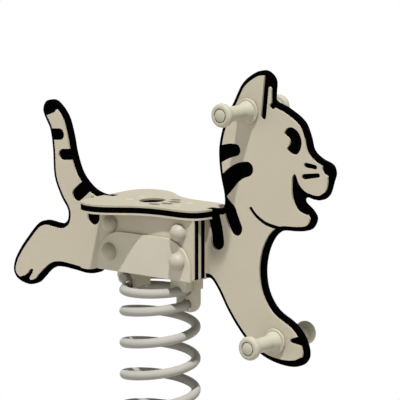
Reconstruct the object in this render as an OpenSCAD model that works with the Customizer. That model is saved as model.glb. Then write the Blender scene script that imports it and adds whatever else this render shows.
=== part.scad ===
// Spring rider: a flat animal of three-layer board with a seat, hand grips and footrests,
// bolted through spacer boards and a bent steel saddle to one coil spring on a base plate.
// Millimetres, +Z up, +X towards the head, +Y the animal's left.
// The origin is on the ground, under the axis of the spring.

/* [Base] */
// Side of the square base plate
base_side = 320; // [290:1:400]
// Thickness of the base plate
base_t = 12; // [8:0.5:20]
// Corner radius of the base plate
base_corner_r = 20; // [5:1:40]
// Distance between the anchor holes, along X and along Y
anchor_spacing = 250; // [240:1:260]
// Diameter of the anchor holes
anchor_hole_d = 14; // [8:0.5:20]
// Width of a base clamp along the wire
base_clamp_w = 36; // [24:1:44]
// Length of a base clamp from the wire's centre outwards
base_clamp_reach = 48; // [44:1:60]

/* [Spring] */
// Diameter of the spring wire
wire_d = 18; // [16:0.5:19]
// Mean diameter of the coil
coil_mean_d = 140; // [132:1:148]
// Rise of one active turn
active_pitch = 62.9; // [50:0.1:72]
// Number of turns at the full pitch
active_turns = 3; // [1:1:5]
// Rise of one closed turn over the wire's diameter
closed_gap = 3; // [1:0.1:4]
// Room between the wire and what holds it
wire_clearance = 0.8; // [0.7:0.1:1.2]

/* [Head fitting] */
// Length of the steel saddle along X
saddle_l = 230; // [210:1:238]
// Plate thickness of the steel saddle
saddle_t = 4; // [3:0.5:6]
// Height of the saddle's cheeks, from its underside
cheek_h = 79; // [66:1:85]
// Radius of the cheeks' top corners
cheek_corner_r = 62; // [20:1:62]
// Steel over the top coil, up to the saddle
head_web = 5.2; // [4:0.2:10]
// Width of a head clamp block along Y
head_block_w = 52; // [50:1:60]
// Thickness of the coil stop plate
stop_t = 8; // [5:0.5:12]
// Distance from the spring's axis to the stop plate's outer edge
stop_reach = 98; // [95:1:110]

/* [Boards] */
// Thickness of the three-layer board
sheet_t = 19; // [16:0.5:22]
// Thickness of each pale skin of the board
skin_t = 4; // [2:0.5:5]
// Length of the spacer boards
board_l = 233; // [230:1:250]
// Shift of the spacer boards towards the head
board_shift = 4.5; // [0:0.5:6]
// Height of the spacer boards
board_h = 115; // [110:1:130]

/* [Body] */
// Length of the animal, nose to hind paw
body_length = 790; // [740:1:860]
// Height of the animal, paw to ear
body_height = 548; // [520:1:600]
// Width of the black rim round the drawing
rim_w = 9; // [6:0.1:11]

/* [Seat] */
// Length of the seat
seat_l = 275; // [265:1:290]
// Width of the seat at its back
seat_w = 218; // [190:1:240]
// Depth of the slot in the seat's rear edge
rear_slot_l = 22; // [15:1:26]
// Depth of the slot in the seat's front edge
front_slot_l = 21; // [15:1:26]
// Room between the seat's slots and the body
slot_clearance = 0.5; // [0.3:0.1:1]
// Length of the paw mark on the seat
paw_l = 84; // [60:1:90]

/* [Grips] */
// Length of a grip, from the body's face to its end
grip_l = 85.3; // [75:0.1:100]
// Diameter of a grip where the hand holds it
grip_d = 28; // [26:0.5:32]
// Diameter of a grip's outer flange
flange_d = 45; // [40:0.5:50]
// Thickness of the outer flange
flange_t = 15; // [13:0.5:18]
// Thickness of the flange on the body
foot_flange_t = 5; // [4:0.5:7]
// Diameter of the flange on the body
foot_flange_d = 49; // [45:0.5:52]
// Distance of the handle from the nape of the neck, along X
handle_inset = 41; // [33:1:56]
// Drop of the handle below the tip of the ear
handle_drop = 75.7; // [68:0.1:88]
// Distance of the footrest behind the tip of the fore paw
footrest_inset = 71.3; // [56:0.1:91]
// Height of the footrest over the sole of the fore paw
footrest_rise = 43.8; // [35:0.1:55]

/* [Fasteners] */
// Diameter of the side bolts
side_bolt_d = 12; // [10:0.5:14]
// Distance of the side bolts from the spring's axis
side_bolt_x = 85; // [80:1:95]
// Drop of the upper side bolts below the seat
upper_bolt_drop = 27; // [24:0.5:29]
// Drop of the lower side bolts below the seat
lower_bolt_drop = 82; // [72:0.5:88]
// Diameter of the dome caps
cap_d = 36; // [34:0.5:38]
// Height of the dome caps
cap_h = 16; // [15:0.5:18]
// Diameter of the rods through the grips
rod_d = 10; // [8:0.5:11]
// Diameter of the bolts in the head clamps
head_bolt_d = 8; // [6:0.5:8]
// Diameter of the bolts in the base clamps
base_bolt_d = 12; // [8:0.5:14]
// Distance of the seat screws from the spring's axis
seat_screw_x = 60; // [56:1:66]
// Diameter of the seat screws
seat_screw_d = 6; // [5:0.5:7]

/* [Hidden] */
$fn = 64;

// Finishes
pale = "#c9c1ab";
black = "#0b0a0c";
paint = "#cfc9b8";
zinc = "#b4b6b8";

// How far a cut runs past what it cuts
overrun = 1;
// Room round a shank in its hole, and round a shank in its thread
hole_clearance = 0.5;
thread_clearance = 0.1;
// Points worked out between two points of an outline, and round the end of a stroke
steps = 4;
cap_steps = 8;
// How much nearer than its inset a point of a moved outline may lie
inset_slack = 0.001;

// Spring
rings_per_turn = 24;
wire_sides = 6;
closed_turns = 0.955;
ramp_turns = 1;
// Angle, seen from above, at which the coil stops and its straight top end begins
top_angle = 203.5;
// Room under the wire's cut end, over the base plate
wire_seat_gap = 0.35;
wire_r = wire_d / 2;
coil_r = coil_mean_d / 2;
closed_pitch = wire_d + closed_gap;
closed_slope = closed_pitch / (PI * coil_mean_d);
total_turns = 2 * (closed_turns + ramp_turns) + active_turns;
coil_z = base_t + wire_seat_gap + wire_r + wire_d * closed_slope;
coil_rise = 2 * lower_rise(total_turns / 2);
channel_r = wire_r + wire_clearance;

// Levels
saddle_z = coil_z + coil_rise + wire_d * closed_slope + wire_r + head_web;
boards_z = saddle_z + saddle_t;
ledge_z = boards_z + board_h;
seat_z = ledge_z + sheet_t;

// Depths along Y: half of the body, then the inner and the outer board, then the cheek
half_t = sheet_t / 2;
core_t = sheet_t - 2 * skin_t;
inner_y = half_t;
outer_y = half_t + sheet_t;
cheek_y = half_t + 2 * sheet_t;
cheek_face_y = cheek_y + saddle_t;

// Seat
seat_rear_share = 0.48;
seat_rear_x = -seat_rear_share * seat_l;
seat_front_x = seat_rear_x + seat_l;
rear_ledge_x = seat_rear_x + rear_slot_l;
front_ledge_x = seat_front_x - front_slot_l;
rear_root_x = rear_ledge_x - slot_clearance;
front_root_x = front_ledge_x + slot_clearance;
seat_screw_y = inner_y + sheet_t / 2;
plug_d_share = 2.6;
plug_d = plug_d_share * seat_screw_d;
plug_h_share = 0.3;
plug_h = plug_h_share * sheet_t;
screw_head_d = 2 * seat_screw_d;
screw_bite_share = 0.35;
screw_z = ledge_z - screw_bite_share * board_h;

// Half of the seat's plan: shares of its length from the rear edge, and of half its width
seat_shares = [
    [0, 0], [0, 0.28], [0.004, 0.61], [0.036, 0.84], [0.105, 0.97], [0.19, 1], [0.28, 0.945],
    [0.37, 0.8], [0.46, 0.65], [0.55, 0.56], [0.66, 0.52], [0.79, 0.515], [0.88, 0.485],
    [0.94, 0.39], [0.966, 0.22], [0.975, 0.09], [1, 0]
];
// Paw mark: centre along X and Y, half-length and half-width, as shares of its length
paw_shares = [
    [-0.22, 0, 0.28, 0.33], [0.16, 0.38, 0.14, 0.1], [0.33, 0.14, 0.16, 0.105],
    [0.33, -0.14, 0.16, 0.105], [0.16, -0.38, 0.14, 0.1]
];
paw_points = 40;

// Body outline: shares of its length, from the spring's axis, and of its height, from the paw up.
// Its two halves start at the seat's slots and, below them, at the belly's ends over the saddle, and
// reach to the hind paw and to the nose.
hind_share = -0.48;
rear_root_share = -0.1399;
front_root_share = 0.1551;
nose_tip_share = 0.5233;
belly_end_share = 0.1481;
// Heights of the ledge under the seat and of the belly
ledge_share = 0.474;
belly_share = 0.262;
belly_gap = 2;
belly_x = saddle_l / 2 + belly_gap;
// The nape of the neck, the tip of the ear, and the tip of the fore paw over its sole
nape_shares = [0.2266, 0.861];
ear_share = 0.999;
paw_tip_shares = [0.451, 0];
// From the seat's rear slot round the tail and the hind leg to the belly
rear_shares = [
    [-0.1769, 0.5086], [-0.2115, 0.5261], [-0.2469, 0.5731], [-0.268, 0.644], [-0.278, 0.707],
    [-0.2958, 0.7772], [-0.3274, 0.8233], [-0.3472, 0.8305], [-0.3646, 0.8202], [-0.3726, 0.7931],
    [-0.3664, 0.7664], [-0.3493, 0.723], [-0.341, 0.6527], [-0.3361, 0.5507], [-0.314, 0.4802],
    [-0.2921, 0.4344], [-0.2931, 0.3986], [-0.3065, 0.3825], [-0.324, 0.3796], [-0.3671, 0.3846],
    [-0.3925, 0.3697], [-0.431, 0.3105], [-0.4561, 0.2652], [-0.475, 0.2181], [-0.4791, 0.1776],
    [-0.4635, 0.1496], [-0.426, 0.1364], [-0.3995, 0.1465], [-0.3802, 0.1708], [-0.3524, 0.2066],
    [-0.3199, 0.2214], [-0.2651, 0.2174], [-0.229, 0.2124], [-0.1957, 0.2198], [-0.1748, 0.2404]
];
// From the belly round the foreleg, the chest, the head and the neck to the front slot
fore_shares = [
    [0.1658, 0.2614], [0.1874, 0.2262], [0.2163, 0.1602], [0.2506, 0.0982], [0.2903, 0.0447],
    [0.3377, 0.0114], [0.3899, -0.0016], [0.4284, 0.0045], [0.448, 0.0281], [0.4521, 0.0582],
    [0.44, 0.1049], [0.413, 0.146], [0.3623, 0.1866], [0.334, 0.2417], [0.3241, 0.3111],
    [0.3311, 0.3805], [0.3509, 0.437], [0.3763, 0.4634], [0.4252, 0.4694], [0.4567, 0.4807],
    [0.4711, 0.5179], [0.4598, 0.5451], [0.4389, 0.5681], [0.437, 0.5811], [0.4491, 0.5894],
    [0.4679, 0.5844], [0.4894, 0.5855], [0.5073, 0.6069], [0.5181, 0.6521], [0.5234, 0.6792],
    [0.5156, 0.706], [0.4851, 0.7237], [0.4619, 0.7489], [0.452, 0.7927], [0.4338, 0.8422],
    [0.3855, 0.8845], [0.3517, 0.9033], [0.3501, 0.9271], [0.35, 0.9744], [0.3275, 1.0015],
    [0.3009, 0.9971], [0.2608, 0.957], [0.2366, 0.898], [0.202, 0.8016], [0.1899, 0.7353],
    [0.1889, 0.6899], [0.1939, 0.6307], [0.2049, 0.5657], [0.2059, 0.5303], [0.1997, 0.5155],
    [0.1709, 0.5092]
];
// Strokes of the drawing: points along each, then half its width at either end, in shares of the
// body's height
stroke_shares = [
    // stripes on the tail and the rump
    [[[-0.361, 0.704], [-0.3135, 0.709]], 0.0215, 0.021],
    [[[-0.253, 0.644], [-0.304, 0.636]], 0.0205, 0.0205],
    [[[-0.212, 0.549], [-0.2562, 0.4977]], 0.025, 0.0255],
    [[[-0.2035, 0.468], [-0.2035, 0.4235]], 0.0294, 0.0294],
    // stripes on the neck and the shoulder
    [[[0.184, 0.696], [0.203, 0.7084], [0.2255, 0.7195], [0.242, 0.7235]], 0.03, 0.0212],
    [[[0.19, 0.575], [0.213, 0.604], [0.2357, 0.6355], [0.256, 0.6535], [0.277, 0.6625]], 0.037, 0.0258],
    [[[0.168, 0.501], [0.203, 0.506]], 0.0125, 0.0125],
    [[[0.2135, 0.5455], [0.226, 0.512]], 0.013, 0.0265],
    [[[0.226, 0.512], [0.2323, 0.4889], [0.2443, 0.4525]], 0.0265, 0.027],
    [[[0.1765, 0.485], [0.1848, 0.4403], [0.1884, 0.4083], [0.1892, 0.3958]], 0.0275, 0.0278],
    // ear
    [[[0.334, 0.99], [0.3286, 0.9108], [0.324, 0.849]], 0.0117, 0.0115],
    [[[0.3626, 0.902], [0.3496, 0.887]], 0.0115, 0.0115],
    // whisker marks
    [[[0.4482, 0.699], [0.4742, 0.6955]], 0.0092, 0.0078],
    [[[0.442, 0.659], [0.4826, 0.669]], 0.0094, 0.0075],
    // jaw
    [[[0.288, 0.528], [0.295, 0.515], [0.31, 0.498], [0.329, 0.484], [0.348, 0.477], [0.376, 0.471]],
        0.0072, 0.0072],
    // fore toe and sole
    [[[0.438, 0.095], [0.411, 0.091]], 0.018, 0.0085],
    [[[0.335, 0.023], [0.3531, 0.0175], [0.3868, 0.0135], [0.418, 0.0185], [0.438, 0.033]], 0.0065, 0.0065],
    // underside of the hind leg
    [[[-0.391, 0.1715], [-0.371, 0.1985], [-0.3465, 0.225], [-0.319, 0.2357], [-0.28, 0.2333],
        [-0.25, 0.2287]], 0.0063, 0.0063]
];
// Black patches of the drawing
tail_tip_shares = [
    [-0.392, 0.759], [-0.354, 0.774], [-0.341, 0.781], [-0.33, 0.788], [-0.323, 0.799],
    [-0.297, 0.81], [-0.297, 0.86], [-0.392, 0.86]
];
ear_tip_shares = [
    [0.319, 1.009], [0.329, 0.985], [0.3365, 0.944], [0.339, 0.9495], [0.342, 0.951],
    [0.3453, 0.9475], [0.3465, 0.941], [0.367, 0.941], [0.367, 1.009]
];
hind_toe_shares = [
    [-0.4193, 0.1951], [-0.4118, 0.1985], [-0.4075, 0.1965], [-0.4103, 0.1829], [-0.4181, 0.1684],
    [-0.4208, 0.1604], [-0.4149, 0.1512], [-0.4391, 0.1393], [-0.4576, 0.1593], [-0.4394, 0.1682],
    [-0.4272, 0.1797]
];
nose_shares = [
    [0.495, 0.722], [0.4935, 0.704], [0.4925, 0.69], [0.4975, 0.678], [0.509, 0.669],
    [0.515, 0.661], [0.538, 0.661], [0.538, 0.722]
];
eye_shares = [
    [0.3845, 0.8], [0.3925, 0.817], [0.407, 0.8215], [0.421, 0.8125], [0.4315, 0.795],
    [0.4352, 0.7705], [0.431, 0.747], [0.4225, 0.7325], [0.4115, 0.73], [0.4, 0.735],
    [0.3925, 0.7465], [0.395, 0.755], [0.3995, 0.7625], [0.4005, 0.7745], [0.3965, 0.785],
    [0.389, 0.7915]
];
mouth_shares = [
    [0.4155, 0.6655], [0.422, 0.653], [0.425, 0.641], [0.433, 0.6245], [0.444, 0.6115],
    [0.458, 0.602], [0.475, 0.586], [0.475, 0.54], [0.451, 0.53], [0.439, 0.533],
    [0.4245, 0.5425], [0.4145, 0.563], [0.4075, 0.59], [0.4065, 0.62], [0.4085, 0.654]
];
// Pale patches where the rim is narrower: the slit in the ear and the edge of the muzzle
ear_slit_shares = [[0.335, 0.953], [0.3458, 0.953], [0.3458, 0.893], [0.335, 0.893]];
muzzle_shares = [
    [0.47, 0.625], [0.49, 0.674], [0.5085, 0.674], [0.5092, 0.652], [0.5082, 0.638],
    [0.5055, 0.6245], [0.5005, 0.6145], [0.494, 0.608], [0.485, 0.6045]
];

// Head fitting
front_angle = 0;
rear_angle = 180;
// Distances from the wire's centre to the blocks' faces and bolts, and to the stop plate's edges
block_inward = 28;
block_outward = 16;
block_chamfer = 7;
bolt_inward = 19;
stop_inward = 26;
stop_neck_inward = 16.5;
block_in = coil_r - block_inward;
block_out = coil_r + block_outward;
head_bolt_x = coil_r - bolt_inward;
stop_in = coil_r - stop_inward;
stop_neck_in = coil_r - stop_neck_inward;
head_bolt_y = inner_y + sheet_t / 2;
head_bolt_tip = 3;
jaw_w_share = 0.85;
jaw_h_share = 0.9;
jaw_h = jaw_h_share * wire_d;
jaw_lip_share = 0.6;
jaw_reach = coil_r - jaw_lip_share * wire_r;
stop_hole_r = wire_r + 2 * wire_clearance;
stop_under_share = 0.62;
stop_under = stop_under_share * wire_r;
stop_corner_share = 1.25;
stop_corner_r = stop_corner_share * wire_d;
slot_gap = 0.15;
nut_h_share = 0.8;
nut_af_share = 1.6;
bolt_head_share = 0.66;
washer_t_share = 0.18;
pocket_room = 1;

// Base clamps
base_angles = [0, 90, 180, 270];
base_lip_share = 0.9;
base_bolt_edge = 14;
base_bolt_reach = base_clamp_reach - base_bolt_edge;

// Dome caps
cap_wall = 2;
cap_room = 0.6;
cap_washer_r = cap_d / 2 - cap_wall - cap_room;
side_washer_t = 2;
side_nut_share = 0.6;
side_nut_h = side_nut_share * side_bolt_d;
side_tip_share = 0.15;
side_tip = side_tip_share * side_bolt_d;

// Grips
flange_round_share = 0.42;
flare_l_share = 0.21;
flare_d_share = 0.62;
plug_seat_share = 0.61;
plug_seat_d = plug_seat_share * flange_d;
plug_seat_h = 8;
nut_pocket_d = rod_d * nut_af_share / cos(30) + 2 * pocket_room;
nut_pocket_h = 12;
rod_nut_h = nut_h_share * rod_d;
rod_washer_t = washer_t_share * rod_d;
groove_share = 0.84;
groove_h_share = 0.4;
end_dome_h = 2;
handle_x = body_x(nape_shares) + handle_inset;
handle_z = body_z(ear_share) - handle_drop;
footrest_x = body_x(paw_tip_shares) - footrest_inset;
footrest_z = body_z(paw_tip_shares.y) + footrest_rise;

// Rise of the coil over its first u turns, up to half way: closed, then ramping, then full pitch
function lower_rise(u) =
    u <= closed_turns ? closed_pitch * u
    : u <= closed_turns + ramp_turns
        ? closed_pitch * u + (active_pitch - closed_pitch) * pow(u - closed_turns, 2) / (2 * ramp_turns)
        : closed_pitch * (closed_turns + ramp_turns)
            + (active_pitch - closed_pitch) * ramp_turns / 2
            + active_pitch * (u - closed_turns - ramp_turns);
// Height of the wire's centre after u turns: the coil is the same from either end
function wire_z(u) =
    coil_z + (u <= total_turns / 2 ? lower_rise(u) : coil_rise - lower_rise(total_turns - u));
function wire_angle(u) = top_angle + 360 * (u - total_turns);
// Height of the wire at an angle: on the nth turn down from the top, or in the bottom turn
function top_wire_z(angle, n) = wire_z(total_turns - (top_angle - angle) / 360 - n);
bottom_angle = top_angle - 360 * total_turns;
function bottom_wire_z(angle) =
    wire_z((angle - bottom_angle) / 360 - floor((angle - bottom_angle) / 360));

// Smooth curve through a list of points
function chord(a, b) = norm(b - a);
function slope_at(a, b, c, d) = (c - a) / (chord(a, b) + chord(b, c)) * d;
function between(a, b, c, d, t) =
    let (
        l = chord(b, c),
        m = slope_at(a, b, c, l),
        n = slope_at(b, c, d, l)
    )
    b * (2 * pow(t, 3) - 3 * pow(t, 2) + 1) + m * (pow(t, 3) - 2 * pow(t, 2) + t)
    + c * (3 * pow(t, 2) - 2 * pow(t, 3)) + n * (pow(t, 3) - pow(t, 2));
function open_curve(p) =
    let (last = len(p) - 1)
    [
        for (i = [0:last - 1], k = [0:steps - 1])
            between(p[max(i - 1, 0)], p[i], p[i + 1], p[min(i + 2, last)], k / steps),
        p[last]
    ];
function closed_curve(p) =
    let (n = len(p))
    [
        for (i = [0:n - 1], k = [0:steps - 1])
            between(p[(i + n - 1) % n], p[i], p[(i + 1) % n], p[(i + 2) % n], k / steps)
    ];
function reversed(p) = [for (i = [len(p) - 1:-1:0]) p[i]];
function unit(v) = v / norm(v);
function left_of(v) = [-v.y, v.x];
// A closed outline, counter-clockwise, moved inwards by w: each point goes to where its two moved
// edges meet, and is left out where that lies nearer than w to some other edge
function edge_gap(q, a, b) =
    let (t = (q - a) * (b - a) / ((b - a) * (b - a)))
    norm(q - a - max(0, min(1, t)) * (b - a));
function inset(p, w) =
    let (
        n = len(p),
        across = [for (i = [0:n - 1]) left_of(unit(p[(i + 1) % n] - p[i]))]
    )
    [
        for (i = [0:n - 1])
            let (
                a = across[(i + n - 1) % n],
                b = across[i],
                q = p[i] + w * (a + b) / (1 + a * b)
            )
            if (min([for (k = [0:n - 1]) edge_gap(q, p[k], p[(k + 1) % n])]) > w - inset_slack) q
    ];
// A stroke along a curve, with half-widths a and b at its ends, both of them round
function heading(c, i) = unit(c[min(i + 1, len(c) - 1)] - c[max(i - 1, 0)]);
function stroke_side(c, a, b, side) =
    [
        for (i = [0:len(c) - 1])
            c[i] + side * (a + (b - a) * i / (len(c) - 1)) * left_of(heading(c, i))
    ];
function round_end(p, way, w) =
    [
        for (k = [1:cap_steps - 1])
            let (turn = 180 * k / cap_steps - 90)
            p + w * (cos(turn) * way + sin(turn) * left_of(way))
    ];
function stroke(p, a, b) =
    let (
        c = open_curve(p),
        last = len(c) - 1
    )
    concat(
        stroke_side(c, a, b, -1), round_end(c[last], heading(c, last), b),
        reversed(stroke_side(c, a, b, 1)), round_end(c[0], -heading(c, 0), a)
    );

// Places on the body, from shares of its length and height
function half_x(share, low, high, end_share) =
    let (
        rise = (share.y - belly_share) / (ledge_share - belly_share),
        root = low + max(0, min(1, rise)) * (high - low)
    )
    root[1] + (share.x - root[0]) / (end_share - root[0]) * (end_share * body_length - root[1]);
function body_x(share) =
    share.x < 0
        ? half_x(share, [-belly_end_share, -belly_x], [rear_root_share, rear_root_x], hind_share)
        : half_x(share, [belly_end_share, belly_x], [front_root_share, front_root_x], nose_tip_share);
function body_z(s) = ledge_z + (s - ledge_share) * body_height;
function on_body(share) = [body_x(share), body_z(share.y)];
function all_on_body(shares) = [for (share = shares) on_body(share)];

body_edge = concat(
    open_curve(concat([[rear_root_x, seat_z]], all_on_body(rear_shares), [[-belly_x, boards_z]])),
    open_curve(concat([[belly_x, boards_z]], all_on_body(fore_shares), [[front_root_x, seat_z]]))
);
body_outline = concat([[rear_root_x, ledge_z]], body_edge, [[front_root_x, ledge_z]]);
// The line that the rim follows: as far past the slots and the ledge, where the skins have no rim
rim_line = concat(
    [[rear_root_x + rim_w, ledge_z + rim_w], [rear_root_x + rim_w, seat_z]],
    body_edge,
    [[front_root_x - rim_w, seat_z], [front_root_x - rim_w, ledge_z + rim_w]]
);

function on_seat(share) = [seat_rear_x + share.x * seat_l, share.y * seat_w / 2];
seat_half = [for (share = seat_shares) on_seat(share)];
seat_outline = closed_curve(concat(
    [for (i = [0:len(seat_half) - 1]) [seat_half[i].x, -seat_half[i].y]],
    [for (i = [len(seat_half) - 2:-1:1]) seat_half[i]]
));

// Places of the side bolts: X, Z, and what lies under their washers along Y
side_places = [
    for (x = [-side_bolt_x, side_bolt_x])
        each [
            [x, ledge_z - upper_bolt_drop, cheek_y],
            [x, ledge_z - lower_bolt_drop, cheek_face_y]
        ]
];

// A flat outline in X and Z stands upright, from y to y + t
module upright(y, t) {
    translate([0, y + t, 0]) rotate([90, 0, 0]) linear_extrude(t) children();
}

// A round bar along Y
module bar_y(x, z, y, l, d) {
    translate([x, y, z]) rotate([-90, 0, 0]) cylinder(d = d, h = l);
}

module hex_nut(d, h) {
    difference() {
        cylinder(d = nut_af_share * d / cos(30), h = h, $fn = 6);
        translate([0, 0, -overrun]) cylinder(d = d + 2 * thread_clearance, h = h + 2 * overrun);
    }
}

module washer(d, bore, t) {
    difference() {
        cylinder(d = d, h = t);
        translate([0, 0, -overrun]) cylinder(d = bore, h = t + 2 * overrun);
    }
}

// A hexagon bolt, head down at z = 0, shank upwards
module hex_bolt(d, l) {
    translate([0, 0, -bolt_head_share * d]) {
        cylinder(d = nut_af_share * d / cos(30), h = bolt_head_share * d, $fn = 6);
        cylinder(d = d, h = l + bolt_head_share * d);
    }
}

// The wire's channel at an angle round the spring, tilted with the closed coil
module wire_channel(angle, z, r) {
    rotate([0, 0, angle])
        translate([0, 0, z])
            rotate([atan(closed_slope), 0, 0])
                rotate_extrude() translate([coil_r, 0]) circle(r = r);
}

module side_bolt_holes(y, t) {
    for (p = side_places)
        bar_y(p[0], p[1], y - overrun, t + 2 * overrun, side_bolt_d + 2 * hole_clearance);
}

// Base

module base_plate() {
    edge = base_side / 2 - base_corner_r;
    color(paint) difference() {
        union() {
            translate([-base_side / 2, -edge, 0]) cube([base_side, 2 * edge, base_t]);
            translate([-edge, -base_side / 2, 0]) cube([2 * edge, base_side, base_t]);
            for (x = [-edge, edge], y = [-edge, edge])
                translate([x, y, 0]) cylinder(r = base_corner_r, h = base_t);
        }
        for (x = [-1, 1], y = [-1, 1])
            translate([x * anchor_spacing / 2, y * anchor_spacing / 2, -overrun])
                cylinder(d = anchor_hole_d, h = base_t + 2 * overrun);
        for (a = base_angles)
            rotate([0, 0, a])
                translate([coil_r + base_bolt_reach, 0, -overrun])
                    cylinder(d = base_bolt_d + 2 * thread_clearance, h = base_t + 2 * overrun);
    }
}

function base_clamp_z(angle) = bottom_wire_z(angle) + base_lip_share * wire_r;

// A hook that bears on the wire from below, from outside and on its shoulder
module base_clamp(angle) {
    z = base_clamp_z(angle);
    color(paint) difference() {
        rotate([0, 0, angle])
            translate([coil_r, -base_clamp_w / 2, base_t])
                cube([base_clamp_reach, base_clamp_w, z - base_t]);
        wire_channel(angle, bottom_wire_z(angle), channel_r);
        rotate([0, 0, angle])
            translate([coil_r + base_bolt_reach, 0, 0])
                cylinder(d = base_bolt_d + 2 * hole_clearance, h = z + overrun);
    }
}

module base_clamp_bolts() {
    color(zinc) for (a = base_angles)
        rotate([0, 0, a])
            translate([coil_r + base_bolt_reach, 0, base_clamp_z(a)])
                rotate([180, 0, 0]) hex_bolt(base_bolt_d, base_clamp_z(a));
}

// Spring

// Each ring: centre, way along the wire, way outwards
function coil_ring(u) =
    let (
        a = wire_angle(u),
        step = 1 / rings_per_turn,
        rise = (wire_z(min(u + step, total_turns)) - wire_z(max(u - step, 0)))
            / (min(u + step, total_turns) - max(u - step, 0)),
        way = unit([-sin(a), cos(a), rise / (PI * coil_mean_d)])
    )
    [[coil_r * cos(a), coil_r * sin(a), wire_z(u)], way, [cos(a), sin(a), 0]];
coil_count = ceil(total_turns * rings_per_turn);
coil_rings = [for (i = [0:coil_count]) coil_ring(total_turns * i / coil_count)];
first_ring = coil_rings[0];
last_ring = coil_rings[coil_count];
spring_rings = concat(
    [[first_ring[0] - wire_d * first_ring[1], first_ring[1], first_ring[2]]],
    coil_rings,
    [[last_ring[0] + wire_d * last_ring[1], last_ring[1], last_ring[2]]]
);
// Least room between a turn and those next to it, measured between the rings' centres
turn_gaps = [
    for (i = [0:len(spring_rings) - 1], j = [i + rings_per_turn / 2:len(spring_rings) - 1])
        norm(spring_rings[j][0] - spring_rings[i][0]) - wire_d
];
echo(least_gap_of_spring_to_itself_mm = min(turn_gaps));

module coil_spring() {
    n = wire_sides;
    count = len(spring_rings);
    points = [
        for (ring = spring_rings, k = [0:n - 1])
            let (turn = 360 * (k + 0.5) / n)
            ring[0] + wire_r * (cos(turn) * ring[2] + sin(turn) * cross(ring[1], ring[2]))
    ];
    sides = [
        for (i = [0:count - 2], k = [0:n - 1])
            let (
                a = i * n + k,
                b = i * n + (k + 1) % n
            )
            each [[a, b, b + n], [a, b + n, a + n]]
    ];
    ends = [
        for (k = [1:n - 2])
            each [[0, k + 1, k], [(count - 1) * n, (count - 1) * n + k, (count - 1) * n + k + 1]]
    ];
    color(paint) polyhedron(points, concat(sides, ends), convexity = 10);
}

// Head fitting

module cheek_outline() {
    straight_h = cheek_h - cheek_corner_r;
    middle = saddle_l / 2 - cheek_corner_r;
    translate([-saddle_l / 2, saddle_z]) square([saddle_l, straight_h]);
    translate([-middle, saddle_z]) square([2 * middle, cheek_h]);
    for (x = [-middle, middle])
        intersection() {
            translate([x, saddle_z + straight_h]) circle(r = cheek_corner_r, $fn = 96);
            translate([-saddle_l / 2, saddle_z]) square([saddle_l, cheek_h]);
        }
}

module spring_saddle() {
    color(paint) difference() {
        union() {
            translate([-saddle_l / 2, -cheek_face_y, saddle_z])
                cube([saddle_l, 2 * cheek_face_y, saddle_t]);
            upright(cheek_y, saddle_t) cheek_outline();
            upright(-cheek_face_y, saddle_t) cheek_outline();
        }
        for (x = [-side_bolt_x, side_bolt_x])
            bar_y(x, ledge_z - lower_bolt_drop, -cheek_face_y - overrun,
                2 * (cheek_face_y + overrun), side_bolt_d + 2 * hole_clearance);
        head_bolt_holes(saddle_z, saddle_t);
    }
}

module head_bolt_holes(z, h) {
    for (x = [-head_bolt_x, head_bolt_x], y = [-head_bolt_y, head_bolt_y])
        translate([x, y, z - overrun])
            cylinder(d = head_bolt_d + 2 * hole_clearance, h = h + 2 * overrun);
}

// A block over the top coil, with its inner corners cut off
module head_block(angle) {
    z = top_wire_z(angle, 0);
    w = head_block_w / 2;
    difference() {
        rotate([0, 0, angle])
            translate([0, 0, z])
                linear_extrude(saddle_z - z)
                    polygon([
                        [block_in, block_chamfer - w], [block_in + block_chamfer, -w],
                        [block_out, -w], [block_out, w],
                        [block_in + block_chamfer, w], [block_in, w - block_chamfer]
                    ]);
        wire_channel(angle, z, channel_r);
        head_bolt_holes(z, saddle_z - z);
    }
}

module head_block_front() {
    color(paint) difference() {
        head_block(front_angle);
        translate([stop_neck_in - slot_gap, -stop_t / 2 - slot_gap, top_wire_z(front_angle, 0) - overrun])
            cube([block_out - stop_neck_in + 2 * overrun, stop_t + 2 * slot_gap,
                saddle_z - top_wire_z(front_angle, 0) + 2 * overrun]);
    }
}

module head_block_rear() {
    color(paint) head_block(rear_angle);
}

// A wedge inside the coil, between its first and second turn
module head_jaw_rear() {
    z = top_wire_z(rear_angle, 0);
    w = jaw_w_share * head_block_w;
    color(paint) difference() {
        rotate([0, 0, rear_angle])
            translate([block_in, -w / 2, z - jaw_h]) cube([jaw_reach - block_in, w, jaw_h]);
        wire_channel(rear_angle, z, channel_r);
        wire_channel(rear_angle, top_wire_z(rear_angle, 1), channel_r);
        head_bolt_holes(z - jaw_h, jaw_h);
    }
}

module coil_stop_plate() {
    first_z = top_wire_z(front_angle, 0);
    second_z = top_wire_z(front_angle, 1);
    low_z = second_z - wire_r - stop_under;
    color(paint) upright(-stop_t / 2, stop_t) difference() {
        union() {
            translate([stop_in, low_z])
                square([stop_reach - stop_corner_r - stop_in, first_z - slot_gap - low_z]);
            translate([stop_in, low_z + stop_corner_r])
                square([stop_reach - stop_in, first_z - slot_gap - low_z - stop_corner_r]);
            translate([stop_reach - stop_corner_r, low_z + stop_corner_r]) circle(r = stop_corner_r);
            translate([stop_neck_in, low_z + stop_corner_r])
                square([stop_reach - stop_neck_in, saddle_z - low_z - stop_corner_r]);
        }
        translate([coil_r, first_z]) circle(r = stop_hole_r);
        translate([coil_r, second_z]) circle(r = stop_hole_r);
    }
}

module head_clamp_bolts() {
    reach = saddle_z + saddle_t + nut_h_share * head_bolt_d + head_bolt_tip;
    color(zinc) for (y = [-head_bolt_y, head_bolt_y]) {
        front_z = top_wire_z(front_angle, 0);
        rear_z = top_wire_z(rear_angle, 0) - jaw_h;
        translate([head_bolt_x, y, front_z]) hex_bolt(head_bolt_d, reach - front_z);
        translate([-head_bolt_x, y, rear_z]) hex_bolt(head_bolt_d, reach - rear_z);
    }
}

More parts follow.
